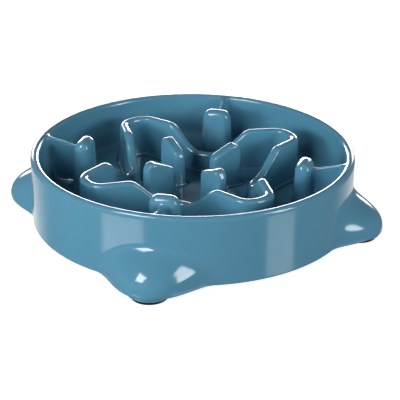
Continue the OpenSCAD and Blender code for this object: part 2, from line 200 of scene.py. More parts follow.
def ridgeSweepTree():
    # sweeps a section along a path and lifts its upper part from the neck's height to the lobe's
    tree, given, result = newTree("ridgeSweep", "GeometryNodeTree", (
        ("Geometry", "NodeSocketGeometry", None), ("Section", "NodeSocketObject", None),
        ("Section Height", "NodeSocketFloat", 0.02), ("Neck Height", "NodeSocketFloat", 0.014),
        ("Lobe Height", "NodeSocketFloat", 0.032), ("Climb Start", "NodeSocketFloat", 0.047),
        ("Climb Length", "NodeSocketFloat", 0.02), ("Lobe Fall", "NodeSocketFloat", 0.03),
        ("Still Below", "NodeSocketFloat", 0.0), ("Moves Above", "NodeSocketFloat", 0.0),
        ("Material", "NodeSocketMaterial", None)),
        (("Geometry", "NodeSocketGeometry"),))
    link = tree.links.new
    path = addNode(tree, "GeometryNodeMeshToCurve")
    link(given.outputs["Geometry"], path.inputs[0])
    level = addNode(tree, "GeometryNodeSetCurveNormal", mode="Z_UP")
    link(path.outputs[0], level.inputs[0])
    place = addNode(tree, "GeometryNodeInputPosition")
    flat = addNode(tree, "ShaderNodeVectorMath", operation="MULTIPLY")
    flat.inputs[1].default_value = (1.0, 1.0, 0.0)
    link(place.outputs[0], flat.inputs[0])
    reach = addNode(tree, "ShaderNodeVectorMath", operation="LENGTH")
    link(flat.outputs[0], reach.inputs[0])
    keep = addNode(tree, "GeometryNodeCaptureAttribute")
    keep.capture_items.new("FLOAT", "Reach")
    link(level.outputs[0], keep.inputs["Geometry"])
    link(reach.outputs["Value"], keep.inputs["Reach"])
    section = addNode(tree, "GeometryNodeObjectInfo")
    link(given.outputs["Section"], section.inputs["Object"])
    outline = addNode(tree, "GeometryNodeMeshToCurve")
    link(section.outputs["Geometry"], outline.inputs[0])
    sweep = addNode(tree, "GeometryNodeCurveToMesh")
    link(keep.outputs["Geometry"], sweep.inputs["Curve"])
    link(outline.outputs[0], sweep.inputs["Profile Curve"])
    climb = addNode(tree, "ShaderNodeMapRange", interpolation_type="SMOOTHSTEP")
    link(keep.outputs["Reach"], climb.inputs["Value"])
    link(given.outputs["Climb Start"], climb.inputs["From Min"])
    top = calc(tree, "ADD", given.outputs["Climb Start"], given.outputs["Climb Length"])
    link(top, climb.inputs["From Max"])
    link(given.outputs["Neck Height"], climb.inputs["To Min"])
    link(given.outputs["Lobe Height"], climb.inputs["To Max"])
    beyond = calc(tree, "MAXIMUM", calc(tree, "SUBTRACT", keep.outputs["Reach"], top), 0.0)
    height = calc(tree, "SUBTRACT", climb.outputs["Result"],
                  calc(tree, "MULTIPLY", beyond, given.outputs["Lobe Fall"]))
    lift = calc(tree, "SUBTRACT", height, given.outputs["Section Height"])
    split = addNode(tree, "ShaderNodeSeparateXYZ")
    link(place.outputs[0], split.inputs[0])
    share = addNode(tree, "ShaderNodeMapRange")
    link(split.outputs["Z"], share.inputs["Value"])
    link(given.outputs["Still Below"], share.inputs["From Min"])
    link(given.outputs["Moves Above"], share.inputs["From Max"])
    offset = addNode(tree, "ShaderNodeCombineXYZ")
    link(calc(tree, "MULTIPLY", lift, share.outputs["Result"]), offset.inputs["Z"])
    move = addNode(tree, "GeometryNodeSetPosition")
    link(sweep.outputs[0], move.inputs["Geometry"])
    link(offset.outputs[0], move.inputs["Offset"])
    real = addNode(tree, "GeometryNodeRealizeInstances")
    link(move.outputs[0], real.inputs[0])
    paint = addNode(tree, "GeometryNodeSetMaterial")
    link(real.outputs[0], paint.inputs["Geometry"])
    link(given.outputs["Material"], paint.inputs["Material"])
    link(paint.outputs[0], result.inputs[0])
    return tree


# Materials

grainShape = {
    "cloudDetail": 3.0, "skinDetail": 4.0, "scratchTurn": (0.3, 0.5, 0.7),
    "scratchStretch": (1.0, 0.07, 0.3), "scratchWidth": 0.006,
    "wornScale": 35.0, "wornFrom": 0.5, "wornTo": 0.7,
}


def mouldedGrainGroup():
    # cloudy colour, uneven gloss and a fine skin, as moulded plastic and rubber have
    tree, given, result = newTree("mouldedGrain", "ShaderNodeTree", (
        ("Colour", "NodeSocketColor", (0.8, 0.8, 0.8, 1.0)), ("Cloudiness", "NodeSocketFloat", 0.03),
        ("Cloud Scale", "NodeSocketFloat", 12.0), ("Roughness", "NodeSocketFloat", 0.2),
        ("Gloss Change", "NodeSocketFloat", 0.05), ("Grain Scale", "NodeSocketFloat", 400.0),
        ("Scratch Scale", "NodeSocketFloat", 60.0), ("Scratch Amount", "NodeSocketFloat", 0.1)),
        (("Colour", "NodeSocketColor"), ("Roughness", "NodeSocketFloat"),
         ("Height", "NodeSocketFloat")))
    link = tree.links.new
    g = grainShape
    spot = addNode(tree, "ShaderNodeTexCoord")
    clouds = addNode(tree, "ShaderNodeTexNoise")
    link(spot.outputs["Object"], clouds.inputs["Vector"])
    link(given.outputs["Cloud Scale"], clouds.inputs["Scale"])
    setSocket(clouds, "Detail", g["cloudDetail"])
    shade = addNode(tree, "ShaderNodeHueSaturation")
    link(given.outputs["Colour"], shade.inputs["Color"])
    swing = calc(tree, "MULTIPLY", calc(tree, "SUBTRACT", clouds.outputs["Fac"], 0.5),
                 given.outputs["Cloudiness"])
    link(calc(tree, "ADD", swing, 1.0), shade.inputs["Value"])
    link(shade.outputs[0], result.inputs["Colour"])
    grain = addNode(tree, "ShaderNodeTexNoise")
    link(spot.outputs["Object"], grain.inputs["Vector"])
    link(given.outputs["Grain Scale"], grain.inputs["Scale"])
    setSocket(grain, "Detail", g["skinDetail"])
    # hairline scratches: the thin lines between stretched cells
    stretch = addNode(tree, "ShaderNodeMapping")
    setSocket(stretch, "Rotation", g["scratchTurn"])
    setSocket(stretch, "Scale", g["scratchStretch"])
    link(spot.outputs["Object"], stretch.inputs["Vector"])
    cells = addNode(tree, "ShaderNodeTexVoronoi", feature="DISTANCE_TO_EDGE")
    link(stretch.outputs[0], cells.inputs["Vector"])
    link(given.outputs["Scratch Scale"], cells.inputs["Scale"])
    hair = addNode(tree, "ShaderNodeMapRange")
    link(cells.outputs["Distance"], hair.inputs["Value"])
    setSocket(hair, "From Max", g["scratchWidth"])
    setSocket(hair, "To Min", 1.0)
    setSocket(hair, "To Max", 0.0)
    worn = addNode(tree, "ShaderNodeTexNoise")
    link(spot.outputs["Object"], worn.inputs["Vector"])
    setSocket(worn, "Scale", g["wornScale"])
    patch = addNode(tree, "ShaderNodeMapRange")
    link(worn.outputs["Fac"], patch.inputs["Value"])
    setSocket(patch, "From Min", g["wornFrom"])
    setSocket(patch, "From Max", g["wornTo"])
    scratch = calc(tree, "MULTIPLY", calc(tree, "MULTIPLY", hair.outputs["Result"],
                                          patch.outputs["Result"]), given.outputs["Scratch Amount"])
    gloss = calc(tree, "MULTIPLY_ADD", calc(tree, "SUBTRACT", worn.outputs["Fac"], 0.5),
                 given.outputs["Gloss Change"], given.outputs["Roughness"])
    link(calc(tree, "ADD", gloss, scratch), result.inputs["Roughness"])
    link(calc(tree, "SUBTRACT", grain.outputs["Fac"], scratch), result.inputs["Height"])
    return tree


finishes = {
    "bowlPlastic": {
        "colour": (0.088, 0.272, 0.4, 1.0), "cloudiness": 0.06, "cloudScale": 14.0,
        "roughness": 0.13, "glossChange": 0.05, "grainScale": 260.0, "grainDepth": 0.004,
        "scratchScale": 55.0, "scratchAmount": 0.12, "ior": 1.5, "coat": 0.25, "coatRoughness": 0.05},
    "padRubber": {
        "colour": (0.012, 0.012, 0.014, 1.0), "cloudiness": 0.25, "cloudScale": 60.0,
        "roughness": 0.72, "glossChange": 0.15, "grainScale": 1800.0, "grainDepth": 0.05,
        "scratchScale": 90.0, "scratchAmount": 0.05, "ior": 1.5, "coat": 0.0, "coatRoughness": 0.0},
}


def makeFinish(name, group):
    values = finishes[name]
    material = bpy.data.materials.new(name)
    material.use_nodes = True
    tree = material.node_tree
    shader = tree.nodes["Principled BSDF"]
    grain = addNode(tree, "ShaderNodeGroup", node_tree=group)
    for label, key in (("Colour", "colour"), ("Cloudiness", "cloudiness"),
                       ("Cloud Scale", "cloudScale"), ("Roughness", "roughness"),
                       ("Gloss Change", "glossChange"), ("Grain Scale", "grainScale"),
                       ("Scratch Scale", "scratchScale"), ("Scratch Amount", "scratchAmount")):
        setSocket(grain, label, values[key])
    bump = addNode(tree, "ShaderNodeBump")
    setSocket(bump, "Distance", values["grainDepth"] * mm)
    tree.links.new(grain.outputs["Height"], bump.inputs["Height"])
    tree.links.new(grain.outputs["Colour"], shader.inputs["Base Color"])
    tree.links.new(grain.outputs["Roughness"], shader.inputs["Roughness"])
    tree.links.new(bump.outputs[0], shader.inputs["Normal"])
    setSocket(shader, "IOR", values["ior"])
    setSocket(shader, "Coat Weight", values["coat"])
    setSocket(shader, "Coat Roughness", values["coatRoughness"])
    return material


def makeFour(name, points, faces, firstAngle, material, nodes):
    # four alike, a quarter turn apart, as one piece
    piece = makePiece(name, points, faces)
    addNodes(piece, repeatTree, {"Count": 4, "First Angle": math.radians(firstAngle),
                                 "Material": material})
    settle(piece)
    finishPiece(piece, nodes)


grainGroup = mouldedGrainGroup()
bowlPlastic = makeFinish("bowlPlastic", grainGroup)
padRubber = makeFinish("padRubber", grainGroup)
repeatTree = quarterTurnsTree()
print("stage: materials and node trees made")

# The bowl: one closed shell with a double wall, the lip, the feet and the floor

shell = {
    "rimRadius": 120.0, "height": 57.0, "lipRadius": 3.3, "wall": 2.6,
    "cornerCentre": (102.33, 29.0), "cornerRadius": 8.0, "floor": 21.0, "disc": 98.0,
    "skirtGap": 6.0, "skirtEdge": 1.2,  # the wall's lower edge above the ground, and its rounding
    "footReach": 23.8, "footHalfTurn": 20.53, "footRise": 29.6,
    "sidePower": 1.94, "upPower": 2.88,  # how bluntly a foot falls away sideways and upwards
    "soleInner": 110.6, "soleFrom": 0.4,  # the sole is full up to this share of a foot's half turn
    "fineTurn": 22.0, "fineStep": 0.5, "coarseStep": 1.7,  # columns, closer together over the feet
    "cornerSteps": 12, "leanSteps": 8, "lipSteps": 24, "wallRows": 46, "edgeSteps": 7, "soleSteps": 4,
    "stepIn": 0.01, "stepUp": 0.2, "insideFrom": 3, "insideStep": 12, "insideRows": 4,
    "lipInsideSteps": 8,
}
boss = {
    "distance": 126.4, "radius": 15.8, "flare": 1.4, "edge": 0.6, "bottom": 3.4, "side": 4.7,
    "top": 6.5, "seat": 13.3, "seatTop": 5.6, "columns": 72, "edgeSteps": 5,
}
lipCentre = (shell["rimRadius"] - shell["lipRadius"], shell["height"] - shell["lipRadius"])


def footBulge(turn, z):
    # how far a foot stands out of the wall, at an angle from its axis and a height
    s = shell
    across = abs(turn) / s["footHalfTurn"]
    up = max(0.0, z - s["skirtGap"]) / s["footRise"]
    reach = math.hypot(across, up)
    if reach >= 1:
        return 0.0
    lean = (up / reach) ** 2 if reach > 0 else 0.0
    power = s["sidePower"] + (s["upPower"] - s["sidePower"]) * lean
    return s["footReach"] * (1 - reach ** power) ** 2


def wallLean():
    # angle from upright of the line that touches the corner's arc and the lip's
    across = lipCentre[0] - shell["cornerCentre"][0]
    up = lipCentre[1] - shell["cornerCentre"][1]
    crossing = math.asin((shell["cornerRadius"] + shell["lipRadius"]) / math.hypot(across, up))
    return 90 - math.degrees(math.atan2(up, across) + crossing)


def shellSection(turn):
    # the section at an angle from the nearest foot's axis, from the floor round to the underside
    s = shell
    lean = wallLean()
    flat = 1 - smooth((abs(turn) / s["footHalfTurn"] - s["soleFrom"]) / (1 - s["soleFrom"]))
    bottom, edge = s["skirtGap"], s["skirtEdge"]
    points = [(s["disc"], s["floor"])]
    points += arcPoints(s["cornerCentre"], s["cornerRadius"], -90, -lean, s["cornerSteps"])
    low = points[-1]
    lip = arcPoints(lipCentre, s["lipRadius"], 180 - lean, 0, s["lipSteps"])
    points += between(low, lip[0], s["leanSteps"])
    points += lip
    edgeTop = bottom + edge
    for i in range(1, s["wallRows"] + 1):
        z = lipCentre[1] + (edgeTop - lipCentre[1]) * i / s["wallRows"]
        points.append((s["rimRadius"] + footBulge(turn, z), z))
    last = s["rimRadius"] + footBulge(turn, bottom)
    for i in range(1, s["edgeSteps"] + 1):
        a = math.radians(90 * i / s["edgeSteps"])
        z = edgeTop - edge * math.sin(a)
        side = s["rimRadius"] + footBulge(turn, z)
        points.append((min(side, last) - edge * (1 - math.cos(a)), z))
    outer = points[-1][0]
    back = s["rimRadius"] - s["wall"]
    inner = back - flat * (back - s["soleInner"])
    points += [(outer + (inner - outer) * i / s["soleSteps"], bottom)
               for i in range(1, s["soleSteps"] + 1)]
    soleTop = bottom + s["wall"]
    points += [(inner, soleTop), (back + s["stepIn"], soleTop + s["stepUp"])]
    points += [(back, soleTop + s["insideFrom"] + i * s["insideStep"]) for i in range(s["insideRows"])]
    points += arcPoints(lipCentre, s["lipRadius"] - s["wall"], 0, 180 - lean, s["lipInsideSteps"])
    points += arcPoints(s["cornerCentre"], s["cornerRadius"] + s["wall"], -lean, -90, s["cornerSteps"])
    points.append((s["disc"], s["floor"] - s["wall"]))
    return points


def shellTurns():
    # column angles with the nearest foot's axis, close together over the feet
    near = shell["fineTurn"]
    fine = int(2 * near / shell["fineStep"])
    coarse = int(round((90 - 2 * near) / shell["coarseStep"]))
    local = [-near + 2 * near * i / fine for i in range(fine)]
    local += [near + (90 - 2 * near) * i / coarse for i in range(coarse)]
    return [(90 * k + a, a if a <= 45 else a - 90) for k in range(4) for a in local]


# The maze in plan: the ridge's closed line of four lobes, the four posts and the four blades

maze = {
    "noseReach": 88.5, "noseHalf": 10.3, "noseRadius": 12.0, "neckReach": 43.8, "neckRadius": 22.0,
    "half": 3.5, "footHalf": 4.4, "fillet": 1.8, "strip": 0.8, "roundUp": 2.9, "wall": 2.1,
    "neckHeight": 14.4, "lobeHeight": 31.6, "climbStart": 47.4, "climbLength": 20.0,
    "lobeFall": 0.031, "step": 1.1, "sectionHeight": 20.0,
    "seam": 0.01,  # how far the thin strip beside a fillet lies above the floor
    "filletSteps": 6, "roundSteps": 9, "stillAbove": 0.2, "movesBelow": 0.1,
    "slotStart": 49.1, "slotStep": 2.0,
}
post = {
    "distance": 84.0, "half": 6.1, "widthHalf": 11.2, "lean": 1.4, "fillet": 1.6, "strip": 0.8,
    "top": 56.8, "arch": 2.6, "round": 6.1, "wall": 2.6,
    "rows": 10, "cornerSteps": 10, "sideSteps": 10,
}
blade = {
    "inner": 16.2, "length": 25.3, "half": 4.5, "corner": 3.6, "lean": 0.5, "fillet": 2.0,
    "strip": 0.8, "round": 2.6, "wall": 2.6, "rows": 8, "cornerSteps": 6, "sideSteps": 20,
    "top": ((16.2, 45.0), (19.0, 47.4), (24.0, 49.6), (34.5, 53.8), (38.0, 53.4), (41.5, 49.0)),
    "ease": (-1.5, -0.75, 0.0, 0.75, 1.5),  # offsets at which the top line is averaged
}
stub = {"filletSteps": 6, "roundSteps": 10, "crownSteps": 3, "hollowSteps": 4}


def roundedLine(corners, radii, step):
    # closed line through corners, each rounded to its radius, with points about a step apart
    line = []
    n = len(corners)
    for i in range(n):
        here, before, after = (Vector(corners[j % n]) for j in (i, i - 1, i + 1))
        toBefore, toAfter = (before - here).normalized(), (after - here).normalized()
        half = math.acos(max(-1.0, min(1.0, toBefore.dot(toAfter)))) / 2
        cut = radii[i] / math.tan(half)
        middle = here + (toBefore + toAfter).normalized() * radii[i] / math.sin(half)
        start, end = here + toBefore * cut - middle, here + toAfter * cut - middle
        sweep = start.angle_signed(end)
        count = max(2, round(abs(sweep) * radii[i] / step))
        arc = [middle + Matrix.Rotation(-sweep * j / count, 2) @ start for j in range(count + 1)]
        if line:
            line += straight(line[-1], arc[0], step)
        line += arc
    line += straight(line[-1], line[0], step)
    return line


def straight(a, b, step):
    count = max(1, round((b - a).length / step))
    return [a + (b - a) * j / count for j in range(1, count)]


def mazeCorners():
    m = maze
    corners, radii = [], []
    for k in range(4):
        turn = Matrix.Rotation(math.radians(45 + 90 * k), 2)
        corners += [turn @ Vector((m["noseReach"], -m["noseHalf"])),
                    turn @ Vector((m["noseReach"], m["noseHalf"]))]
        corners.append(Matrix.Rotation(math.radians(90 + 90 * k), 2) @ Vector((m["neckReach"], 0)))
        radii += [m["noseRadius"], m["noseRadius"], m["neckRadius"]]
    return corners, radii


def slotOutlines():
    # openings of the floor under the hollow ridge, posts and blades, in plan
    m = maze
    reach = m["footHalf"] - m["wall"]
    corners, radii = mazeCorners()
    line = roundedLine(corners, radii, m["slotStep"])
    n = len(line)
    slots = []
    for k in range(4):
        middle = math.radians(45 + 90 * k)
        # the stretch of the line that belongs to this lobe, outside the necks' arcs
        own = [i for i in range(n) if line[i].length > m["slotStart"]
               and abs((math.atan2(line[i].y, line[i].x) - middle + math.pi) % math.tau - math.pi)
               < math.radians(45)]
        first = next(i for i in own if (i - 1) % n not in own)
        count = len(own)
        run = [(first + j) % n for j in range(count)]
        left, right = [], []
        for i in run:
            way = (line[(i + 1) % n] - line[i - 1]).normalized()
            side = Vector((-way.y, way.x)) * reach
            left.append(line[i] + side)
            right.append(line[i] - side)
        slots.append(left + right[::-1])
    p, b = post, blade
    inner = p["half"] + p["lean"] - p["wall"]
    reachY = p["widthHalf"] - p["half"]
    stadium = arcPoints((p["distance"], reachY), inner, 0, 180, p["cornerSteps"])
    stadium += arcPoints((p["distance"], -reachY), inner, 180, 360, p["cornerSteps"])
    x0, x1, y0 = b["inner"] + b["wall"], b["inner"] + b["length"] - b["wall"], b["half"] - b["wall"]
    box = [(x0, -y0), (x1, -y0), (x1, y0), (x0, y0)]
    for k in range(4):
        for shape, turn in ((stadium, 90 * k), (box, 45 + 90 * k)):
            spin = Matrix.Rotation(math.radians(turn), 2)
            slots.append([spin @ Vector(q) for q in shape])
    return slots


def addBosses(points, faces):
    # a boss under each foot, with the round seat of its pad
    b = boss
    outline = [(0.0, b["seatTop"]), (b["seat"], b["seatTop"]), (b["seat"], b["bottom"])]
    outline += arcPoints((b["radius"] - b["edge"], b["bottom"] + b["edge"]), b["edge"], -90, 0,
                         b["edgeSteps"])
    outline += [(b["radius"], b["side"]), (b["radius"] + b["flare"], shell["skirtGap"]),
                (b["radius"] + b["flare"], b["top"]), (0.0, b["top"])]
    for k in range(4):
        turn = Matrix.Rotation(math.radians(90 * k), 3, "Z")
        rings = []
        for i in range(b["columns"]):
            a = math.tau * i / b["columns"]
            rings.append([turn @ Vector((b["distance"] + r * math.cos(a), r * math.sin(a), z))
                          for r, z in outline])
        rings.append(rings[0])
        first = len(points)
        points += [tuple(q) for ring in rings for q in ring]
        faces += [tuple(first + i for i in face) for face in bridgeRings(rings, closed=False)]


def makeShell():
    columns = shellTurns()
    rings = []
    for turn, local in columns:
        c, s = math.cos(math.radians(turn)), math.sin(math.radians(turn))
        rings.append([(r * c, r * s, z) for r, z in shellSection(local)])
    points = [p for ring in rings for p in ring]
    rows = len(rings[0])
    n = len(rings)
    faces = [(i * rows + j, i * rows + j + 1, ((i + 1) % n) * rows + j + 1, ((i + 1) % n) * rows + j)
             for i in range(n) for j in range(rows - 1)]
    edge = [Vector((ring[0][0], ring[0][1])) for ring in rings]
    loops = [edge] + slotOutlines()
    flat = [q for loop in loops for q in loop]
    triangles = tessellate_polygon([[Vector((q.x, q.y, 0)) for q in loop] for loop in loops])
    for z in (shell["floor"], shell["floor"] - shell["wall"]):
        first = len(points)
        points += [(q.x, q.y, z) for q in flat]
        faces += [tuple(first + i for i in triangle) for triangle in triangles]
    upper, lower = len(points) - 2 * len(flat), len(points) - len(flat)
    start = len(edge)
    for loop in loops[1:]:
        m = len(loop)
        faces += [(upper + start + j, upper + start + (j + 1) % m,
                   lower + start + (j + 1) % m, lower + start + j) for j in range(m)]
        start += m
    addBosses(points, faces)
    piece = makePiece("bowlShell", points, faces)
    piece.data.materials.append(bowlPlastic)
    own = [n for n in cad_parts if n.startswith(("outer_", "rolled_", "basin_"))]
    finishPiece(piece, own + ["foot_" + side for side in sides])


makeShell()
print("stage: shell made")


# The maze ridge: a hollow section swept along the clover line

def ridgeSection():
    # closed outline from one strip on the floor over the top to the other, then up the hollow
    m = maze
    top = m["sectionHeight"]
    half = [(m["footHalf"] + m["fillet"] + m["strip"], m["seam"])]
    half += [(m["footHalf"] + m["fillet"] * (1 - math.sin(a)),
              m["seam"] + m["fillet"] * (1 - math.cos(a))) for a in quarterAngles(0, m["filletSteps"])]
    half += [(m["half"] * math.cos(a), top - m["roundUp"] * (1 - math.sin(a)))
             for a in quarterAngles(0, m["roundSteps"])[:-1]]
    whole = half + [(0.0, top)] + [(-x, y) for x, y in reversed(half)]
    inside = m["footHalf"] - m["wall"]
    crown = m["half"] - m["wall"]
    return whole + [(-inside, m["seam"]), (-crown, top - m["wall"]), (crown, top - m["wall"]),
                    (inside, m["seam"])]


def makeRidge():
    m = maze
    floor = shell["floor"]
    corners, radii = mazeCorners()
    line = roundedLine(corners, radii, m["step"])
    ridge = makeLoop("mazeRidge", [(q.x, q.y, floor) for q in line])
    # a section's Y axis points down along a path whose normals are level
    section = makeLoop("ridgeSection", [(x, -y, 0) for x, y in ridgeSection()])
    addNodes(ridge, ridgeSweepTree(), {
        "Section": section, "Section Height": m["sectionHeight"] * mm,
        "Neck Height": m["neckHeight"] * mm, "Lobe Height": m["lobeHeight"] * mm,
        "Climb Start": m["climbStart"] * mm, "Climb Length": m["climbLength"] * mm,
        "Lobe Fall": m["lobeFall"], "Still Below": (floor + m["fillet"] + m["stillAbove"]) * mm,
        "Moves Above": (floor + m["sectionHeight"] - m["roundUp"] - m["movesBelow"]) * mm,
        "Material": bowlPlastic})
    settle(ridge)
    bpy.data.objects.remove(section)
    finishPiece(ridge, sorted(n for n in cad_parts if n.startswith("maze_")))


makeRidge()
print("stage: maze ridge made")


# Posts and blades: hollow upright stubs with a rounded plan, a base fillet and a rounded top

def stubPlan(halfX, halfY, corner, offset, cornerSteps, sideSteps):
    # rounded rectangle about the origin, grown by an offset, with a fixed count of points
    x, y = max(0.0, halfX + offset), max(0.0, halfY + offset)
    r = max(0.0, min(corner + offset, x, y))
    points = []
    for quadrant, (sx, sy) in enumerate(((1, 1), (-1, 1), (-1, -1), (1, -1))):
        arc = arcPoints((sx * (x - r), sy * (y - r)), r, 90 * quadrant, 90 * quadrant + 90, cornerSteps)
        if points:
            points += between(points[-1], arc[0], sideSteps)
        points += arc
    return points + between(points[-1], points[0], sideSteps)


def stubRings(centreX, halfX, halfY, corner, topAt, spec):
    # from the crown down the outside to the floor, then up the hollow to its roof
    floor = shell["floor"] + maze["seam"]
    lean, fillet, over, wall = spec["lean"], spec["fillet"], spec["round"], spec["wall"]
    rings = []

    def addRing(offset, heightAt):
        plan = stubPlan(halfX, halfY, corner, offset, spec["cornerSteps"], spec["sideSteps"])
        rings.append([(centreX + x, y, heightAt(centreX + x, y)) for x, y in plan])

    addRing(lean + fillet + spec["strip"], lambda x, y: floor)
    for a in quarterAngles(0, stub["filletSteps"]):
        addRing(lean + fillet * (1 - math.sin(a)), lambda x, y: floor + fillet * (1 - math.cos(a)))
    rows = spec["rows"]
    for i in range(1, rows + 1):
        addRing(lean * (1 - i / rows),
                lambda x, y: floor + fillet + (topAt(x, y) - over - floor - fillet) * i / rows)
    for a in quarterAngles(1, stub["roundSteps"]):
        addRing(-over * (1 - math.cos(a)), lambda x, y: topAt(x, y) - over * (1 - math.sin(a)))
    least = min(halfX, halfY)
    crown, hollow = stub["crownSteps"], stub["hollowSteps"]
    if over < least:
        for i in range(1, crown + 1):
            addRing(-over - (least - over) * i / crown, topAt)
    rings.reverse()
    addRing(lean - wall, lambda x, y: floor)
    for i in range(1, hollow + 1):
        addRing(-wall + lean * (1 - i / hollow),
                lambda x, y: floor + (topAt(x, y) - 2 * wall - floor) * i / hollow)
    for i in range(1, crown + 1):
        addRing(-wall - (least - wall) * i / crown,
                lambda x, y: topAt(x, y) - 2 * wall + wall * i / crown)
    return rings


def postTop(x, y):
    # a shallow arch across the post
    p = post
    share = min(1.0, abs(y) / (p["widthHalf"] + p["lean"]))
    return p["top"] - p["arch"] * (1 - math.sqrt(1 - share * share))


def makePosts():
    p = post
    rings = stubRings(p["distance"], p["half"], p["widthHalf"], p["half"], postTop, p)
    makeFour("mazePosts", [q for ring in rings for q in ring], bridgeRings(rings), 0,
             bowlPlastic, ["post_" + side for side in sides])


def bladeTop(x):
    table = blade["top"]
    x = min(table[-1][0], max(table[0][0], x))
    for (x0, z0), (x1, z1) in zip(table, table[1:]):
        if x <= x1:
            return z0 + (z1 - z0) * (x - x0) / (x1 - x0)
    return table[-1][1]


def bladeTopSmooth(x, y):
    # the table's corners eased over a short stretch
    return sum(bladeTop(x + d) for d in blade["ease"]) / len(blade["ease"])


def makeBlades():
    b = blade
    rings = stubRings(b["inner"] + b["length"] / 2, b["length"] / 2, b["half"], b["corner"],
                      bladeTopSmooth, b)
    makeFour("centreBlades", [q for ring in rings for q in ring], bridgeRings(rings), 45,
             bowlPlastic, ["centre_blade_" + quarter for quarter in quarters])


makePosts()
makeBlades()
print("stage: posts and blades made")

# Webs: a thin plate from each post to the wall, with a fillet where it meets either

web = {
    "half": 1.2, "fillet": 2.6, "postDrop": 5.6, "bend": 3.0, "lipDrop": 0.4,
    "flare": 2.4, "flareFrom": 38.0,  # how much the wall's fillet widens, and from which height
    "sink": 0.8, "farSink": 0.24, "columns": 48, "rows": 30,
    "cornerSteps": 20, "wallSteps": 14, "lipSteps": 8, "bendSteps": 10, "topSteps": 20, "roundSteps": 6,
}


def postFace(z):
    # distance from the bowl's axis of a post's outer face at a height
    p = post
    dome = p["top"] - p["half"]
    if z > dome:
        return p["distance"] + math.sqrt(p["half"] ** 2 - (z - dome) ** 2)
    return p["distance"] + p["half"] + p["lean"] * (dome - z) / (dome - shell["floor"])


def basinSide():
    # the basin's section from the floor's edge up to where the web ends on the lip
    lean = wallLean()
    low = arcPoints(shell["cornerCentre"], shell["cornerRadius"], -90, -lean, web["cornerSteps"])
    ends = math.degrees(math.acos((shell["lipRadius"] - web["lipDrop"]) / shell["lipRadius"])) + 90
    lip = arcPoints(lipCentre, shell["lipRadius"], 180 - lean, ends, web["lipSteps"])
    return low + between(low[-1], lip[0], web["wallSteps"]) + lip


def alongLine(points, share):
    # the spot at a share of the line's length
    lengths = [math.dist(a, b) for a, b in zip(points, points[1:])]
    left = share * sum(lengths)
    for a, b, length in zip(points, points[1:], lengths):
        if left <= length:
            t = left / length
            return (a[0] + (b[0] - a[0]) * t, a[1] + (b[1] - a[1]) * t)
        left -= length
    return points[-1]


def basinDepth(x, z):
    # distance from the basin's surface into the basin
    centre, radius = shell["cornerCentre"], shell["cornerRadius"]
    lean = math.radians(wallLean())
    wall = ((centre[0] - x) * math.cos(lean) - (centre[1] - z) * math.sin(lean)) + radius
    if x > centre[0] and z < centre[1]:
        return radius - math.dist(centre, (x, z))
    lip = math.dist(lipCentre, (x, z)) - shell["lipRadius"]
    return min(z - shell["floor"], wall if z < lipCentre[1] else lip)


def filletAt(depth, r):
    # how far a fillet of a radius stands out, at a distance from what it meets
    depth = min(r, max(0.0, depth))
    return r - math.sqrt(r * r - (r - depth) ** 2)


def webTop(farTop):
    # the top line: up the bend from the post's dome, then straight up to the lip
    p = post
    dome = p["top"] - p["half"]
    low = p["top"] - web["postDrop"] + web["bend"]
    across = math.sqrt((p["half"] + web["bend"]) ** 2 - (low - dome) ** 2)
    meet = math.degrees(math.atan2(low - dome, across))
    bend = arcPoints((p["distance"] + across, low), web["bend"], 180 + meet, 270, web["bendSteps"])
    return bend + between(bend[-1], farTop, web["topSteps"]) + [farTop]


